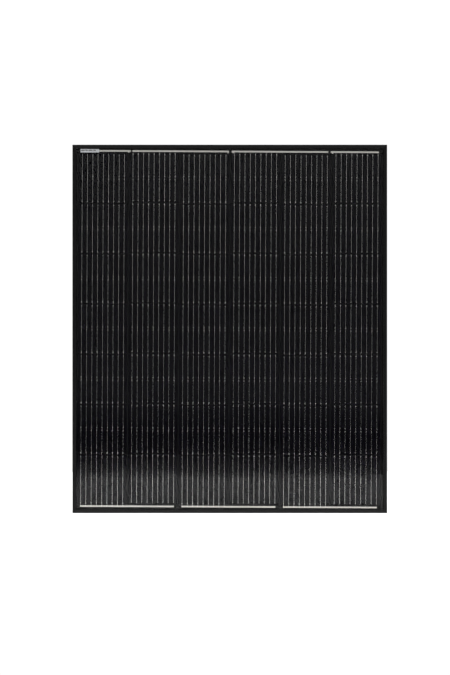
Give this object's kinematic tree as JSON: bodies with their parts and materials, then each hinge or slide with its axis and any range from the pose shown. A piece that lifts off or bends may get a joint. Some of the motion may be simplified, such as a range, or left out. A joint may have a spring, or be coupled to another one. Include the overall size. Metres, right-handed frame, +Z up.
{
  "type": "framed solar module",
  "caption": "Flat all-black solar module: glass laminate of square cells in a mitred metal frame, with a hinged-lid junction box and cable glands on its back.",
  "frame": {"origin": "the middle of the plane that the frame's rear flanges lie on, centred between the eight mounting slots", "axes": "+X to the right as seen from the front, +Y from the glass to the back, +Z up along the longer sides; the glass faces -Y"},
  "size_m": [1.002, 0.035, 1.173],
  "materials": {
    "black_anodised": "satin",
    "mill_aluminium": "satin",
    "sealant": "matte",
    "solar_glass": "gloss",
    "clear_film": "gloss",
    "silicon": "satin",
    "tinned_wire": "satin",
    "tinned_ribbon": "satin",
    "black_film": "satin",
    "label": "satin",
    "box_silicone": "satin",
    "box_plastic": "matte",
    "grey_plastic": "satin",
    "seal_rubber": "matte",
    "copper": "satin",
    "screw_steel": "satin",
    "diode_epoxy": "satin"
  },
  "bodies": {
    "module": {"frame_left_rail": "black_anodised", "frame_right_rail": "black_anodised", "frame_top_rail": "black_anodised", "frame_bottom_rail": "black_anodised", "corner_key_top_left": "mill_aluminium", "corner_key_top_right": "mill_aluminium", "corner_key_bottom_left": "mill_aluminium", "corner_key_bottom_right": "mill_aluminium", "edge_sealant": "sealant", "front_glass": "solar_glass", "front_encapsulant": "clear_film", "cell_string_1": "silicon", "cell_string_2": "silicon", "cell_string_3": "silicon", "cell_string_4": "silicon", "cell_string_5": "silicon", "cell_string_6": "silicon", "string_wires_1": "tinned_wire", "string_wires_2": "tinned_wire", "string_wires_3": "tinned_wire", "string_wires_4": "tinned_wire", "string_wires_5": "tinned_wire", "string_wires_6": "tinned_wire", "top_bus_ribbon_1": "tinned_ribbon", "top_bus_ribbon_2": "tinned_ribbon", "top_bus_ribbon_3": "tinned_ribbon", "top_bus_ribbon_4": "tinned_ribbon", "bottom_bus_ribbon_1": "tinned_ribbon", "bottom_bus_ribbon_2": "tinned_ribbon", "bottom_bus_ribbon_3": "tinned_ribbon", "lead_out_ribbon_1": "tinned_ribbon", "lead_out_ribbon_2": "tinned_ribbon", "lead_out_ribbon_3": "tinned_ribbon", "lead_out_ribbon_4": "tinned_ribbon", "lead_insulation": "black_film", "rear_encapsulant": "black_film", "backsheet": "black_film", "front_label": "label", "rating_label": "label", "box_adhesive": "box_silicone", "box_base": "box_plastic", "breather": "box_plastic", "gland_body_left": "box_plastic", "gland_body_right": "box_plastic", "gland_seal_left": "seal_rubber", "gland_seal_right": "seal_rubber", "terminal_1": "copper", "terminal_2": "copper", "terminal_3": "copper", "terminal_4": "copper", "clamp_screws": "screw_steel", "bypass_diode_1": "diode_epoxy", "bypass_diode_2": "diode_epoxy", "bypass_diode_3": "diode_epoxy"},
    "lid": {"box_lid": "box_plastic", "lid_seal": "seal_rubber"},
    "left_slip_ring": {"slip_ring_left": "grey_plastic"},
    "left_cap_nut": {"cap_nut_left": "box_plastic"},
    "right_slip_ring": {"slip_ring_right": "grey_plastic"},
    "right_cap_nut": {"cap_nut_right": "box_plastic"}
  },
  "joints": [
    {"name": "lid_hinge", "type": "hinge", "parent": "module", "child": "lid", "pos_m": [0, -0.0076, 0.5355], "axis": [1, 0, 0], "range_deg": [0, 110]},
    {"name": "left_ring_slide", "type": "slide", "parent": "module", "child": "left_slip_ring", "axis": [0, 0, -1], "range_m": [0, 0.006]},
    {"name": "left_nut_turn", "type": "hinge", "parent": "left_slip_ring", "child": "left_cap_nut", "pos_m": [-0.042, -0.0161, 0.419], "axis": [0, 0, -1], "range_deg": [0, 1440]},
    {"name": "right_ring_slide", "type": "slide", "parent": "module", "child": "right_slip_ring", "axis": [0, 0, -1], "range_m": [0, 0.006]},
    {"name": "right_nut_turn", "type": "hinge", "parent": "right_slip_ring", "child": "right_cap_nut", "pos_m": [0.042, -0.0161, 0.419], "axis": [0, 0, -1], "range_deg": [0, 1440]}
  ],
  "couplings": [
    {"joint": "left_ring_slide", "follows": "left_nut_turn", "m_per_rad": 0.00023873},
    {"joint": "right_ring_slide", "follows": "right_nut_turn", "m_per_rad": 0.00023873}
  ]
}
